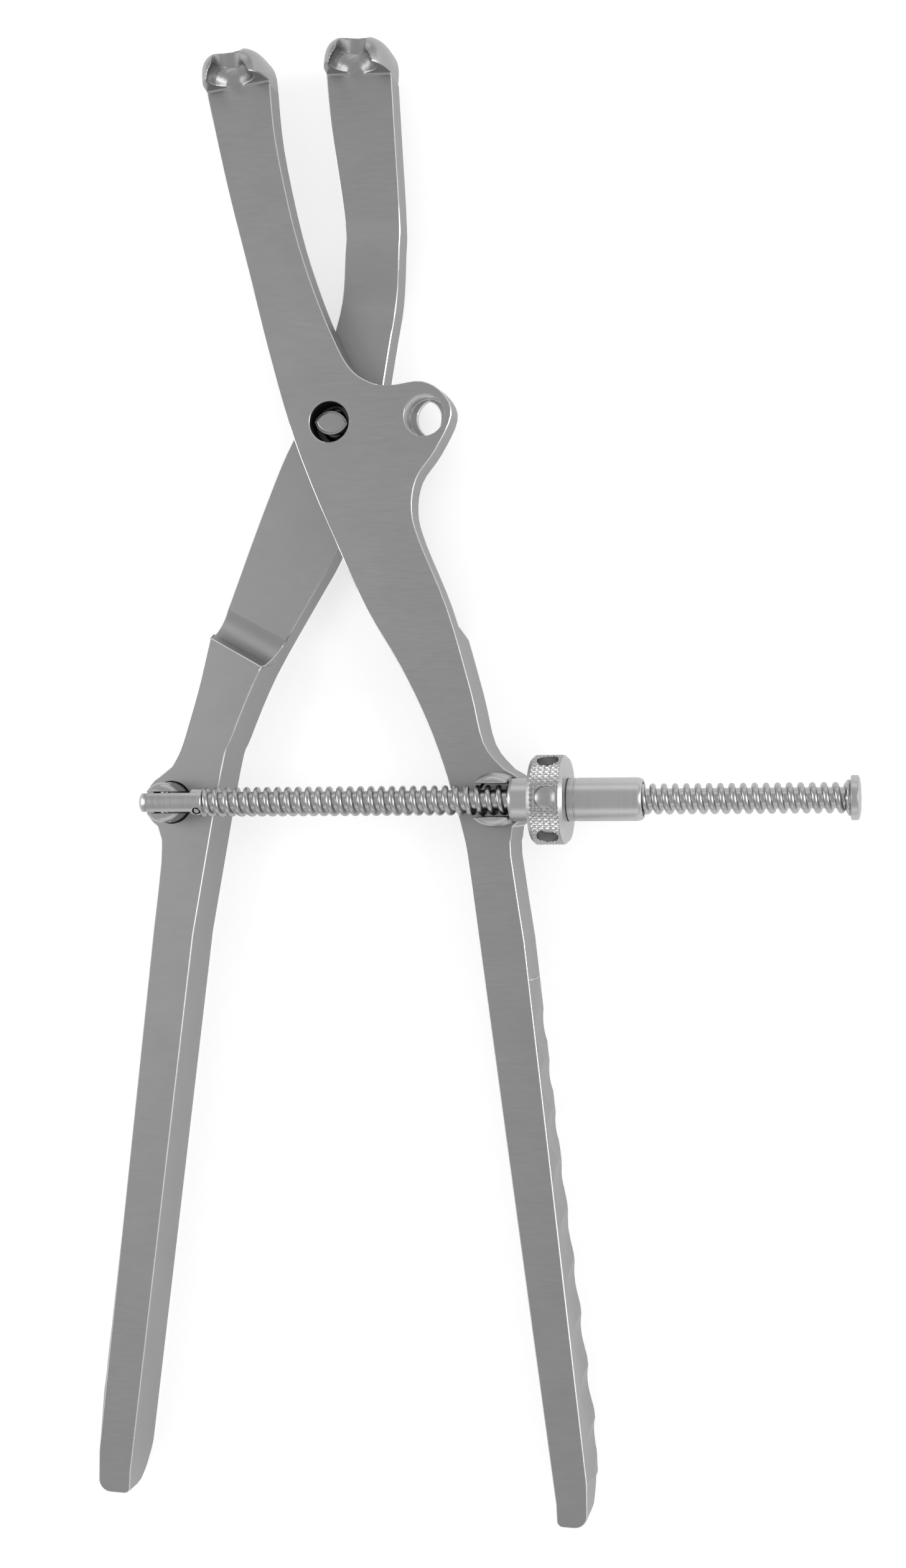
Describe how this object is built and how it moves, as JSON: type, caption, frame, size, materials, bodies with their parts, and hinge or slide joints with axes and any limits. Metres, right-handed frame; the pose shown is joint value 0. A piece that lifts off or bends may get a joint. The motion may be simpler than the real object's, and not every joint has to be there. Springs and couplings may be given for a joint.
{
  "type": "pelvic reduction forceps",
  "caption": "Crossing-arm reduction forceps with slotted screw-head jaws, a two-position bayonet pivot and a threaded spindle with a knurled nut between the handles.",
  "frame": {"origin": "on the pivot axis, in the plane of the instrument's back, which is the pivot pin's rear face", "axes": "+X to the right as seen from the front, +Y along the instrument toward the jaws, +Z out of the front face toward the viewer"},
  "size_m": [0.1538, 0.2918, 0.0255],
  "materials": {
    "arm_steel": "satin brushed",
    "pin_steel": "polished",
    "post_steel": "satin turned",
    "spindle_steel": "bright turned",
    "nut_steel": "bright turned and knurled"
  },
  "bodies": {
    "rear_arm_body": {"rear_arm": "arm_steel", "pivot_pin": "pin_steel"},
    "front_arm_body": {"front_arm": "arm_steel"},
    "post_body": {"spindle_post": "post_steel", "spindle_post_ring": "post_steel", "tongue_pin": "pin_steel"},
    "spindle_body": {"spindle_tongue": "spindle_steel", "tongue_lock_pin": "pin_steel", "threaded_spindle": "spindle_steel", "stop_disc": "spindle_steel"},
    "fork_body": {"fork_post": "post_steel", "fork_post_ring": "post_steel"},
    "nose_body": {"thrust_collar": "nut_steel"},
    "nut_body": {"nut_sleeve": "nut_steel", "knurled_ring": "nut_steel"}
  },
  "joints": [
    {"name": "arm_hinge", "type": "hinge", "parent": "rear_arm_body", "child": "front_arm_body", "pos_m": [0, 0, 0], "axis": [0, 0, 1], "range_deg": [-6.5, 28]},
    {"name": "spindle_swivel", "type": "hinge", "parent": "rear_arm_body", "child": "post_body", "pos_m": [-0.03314, -0.07568, 0], "axis": [0, 0, 1], "range_deg": [-3.5, 14.5]},
    {"name": "spindle_tilt", "type": "hinge", "parent": "post_body", "child": "spindle_body", "pos_m": [-0.03314, -0.07568, 0.0154], "axis": [0.0087, -1, 0], "range_deg": [0, 80]},
    {"name": "fork_swivel", "type": "hinge", "parent": "front_arm_body", "child": "fork_body", "pos_m": [0.03446, -0.07509, 0], "axis": [0, 0, 1], "range_deg": [-14.5, 3.5]},
    {"name": "nut_travel", "type": "slide", "parent": "spindle_body", "child": "nose_body", "axis": [1, 0.0087, 0], "range_m": [-0.00875, 0.03704]},
    {"name": "nut_spin", "type": "hinge", "parent": "nose_body", "child": "nut_body", "pos_m": [0.03775, -0.07506, 0.0168], "axis": [1, 0.0087, 0], "range_deg": [-1458, 6262]}
  ],
  "couplings": [
    {"joint": "spindle_swivel", "follows": "arm_hinge", "ratio": 0.5},
    {"joint": "fork_swivel", "follows": "arm_hinge", "ratio": -0.5},
    {"joint": "nut_travel", "follows": "arm_hinge", "m_per_rad": 0.075389},
    {"joint": "nut_spin", "follows": "arm_hinge", "ratio": 223.44}
  ]
}
